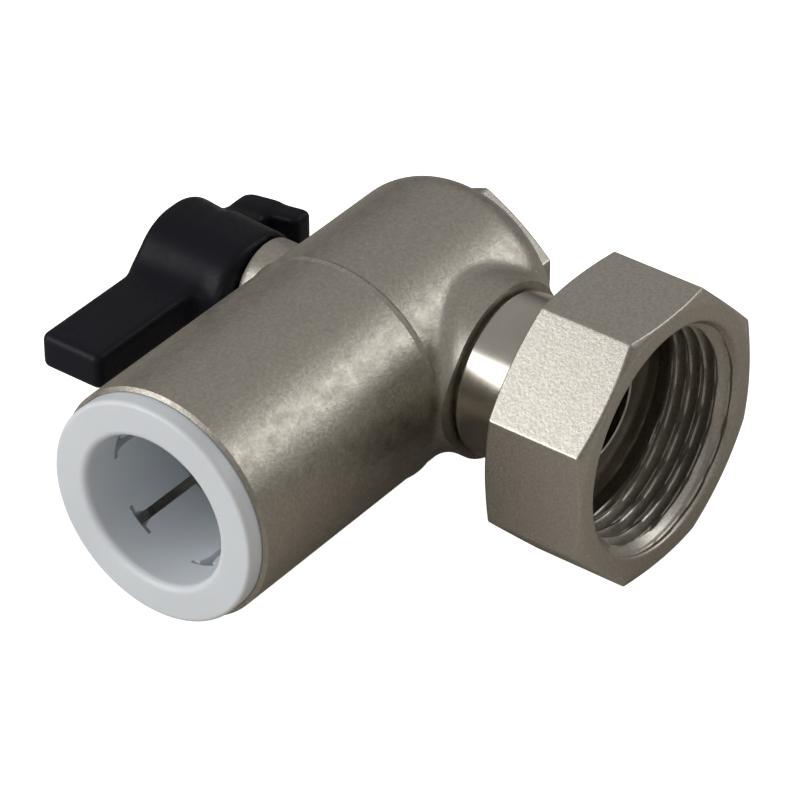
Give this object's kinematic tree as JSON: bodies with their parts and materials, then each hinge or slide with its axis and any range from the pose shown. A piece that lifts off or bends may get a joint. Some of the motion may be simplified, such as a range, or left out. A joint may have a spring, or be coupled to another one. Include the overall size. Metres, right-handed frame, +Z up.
{
  "type": "angle ball valve",
  "caption": "Angle ball valve with a push-fit inlet socket, a swivel nut outlet at right angles, a hexagon end plug and a black butterfly handle.",
  "frame": {"origin": "centre of the inlet mouth, on the pipe axis", "axes": "+X along the pipe into the valve, -Y out through the outlet nut, +Y along the stem to the handle, +Z up"},
  "size_m": [0.0729, 0.0806, 0.0394],
  "materials": {
    "nickel_cast": "bead-blasted nickel plate on brass",
    "nickel_turned": "turned, nickel plate on brass",
    "nickel_nut": "satin nickel plate on brass",
    "brass": "turned",
    "chrome_ball": "polished",
    "spring_steel": "bright",
    "white_acetal": "satin moulded",
    "seat_ptfe": "waxy",
    "black_plastic": "semi-gloss moulded",
    "seal_rubber": "smooth"
  },
  "bodies": {
    "valve": {"valve_body": "nickel_cast", "end_plug": "nickel_turned", "plug_o_ring": "seal_rubber", "pipe_spacer_ring": "white_acetal", "pipe_o_ring": "seal_rubber", "pipe_backing_ring": "white_acetal", "inlet_seat": "seat_ptfe", "inlet_seat_ring": "seal_rubber", "rear_seat": "seat_ptfe", "rear_seat_ring": "seal_rubber", "stem_packing": "seat_ptfe", "gland_nut": "nickel_turned", "stem_thrust_washer": "seat_ptfe", "tail_piece": "nickel_turned", "tail_o_ring": "seal_rubber"},
    "grip_collet": {"collet": "white_acetal", "collet_teeth": "spring_steel"},
    "ball": {"ball": "chrome_ball"},
    "spindle": {"stem": "brass", "stem_o_ring_inner": "seal_rubber", "stem_o_ring_outer": "seal_rubber", "handle": "black_plastic", "handle_screw": "spring_steel", "handle_washer": "spring_steel"},
    "slip_ring": {"nut_slip_ring": "brass"},
    "nut": {"union_nut": "nickel_nut"}
  },
  "joints": [
    {"name": "handle_turn", "type": "hinge", "parent": "valve", "child": "spindle", "pos_m": [0.0502, 0.03, 0], "axis": [0, 1, 0], "range_deg": [0, 90]},
    {"name": "ball_turn", "type": "hinge", "parent": "valve", "child": "ball", "pos_m": [0.0502, 0, 0], "axis": [0, 1, 0], "range_deg": [0, 90]},
    {"name": "collet_press", "type": "slide", "parent": "valve", "child": "grip_collet", "axis": [1, 0, 0], "range_m": [0, 0.0023]},
    {"name": "nut_slide", "type": "slide", "parent": "valve", "child": "slip_ring", "axis": [0, 1, 0], "range_m": [0, 0.0102]},
    {"name": "nut_spin", "type": "hinge", "parent": "slip_ring", "child": "nut", "pos_m": [0.0532, -0.036, 0], "axis": [0, 1, 0], "continuous": true}
  ],
  "couplings": [
    {"joint": "ball_turn", "follows": "handle_turn", "ratio": 1}
  ]
}
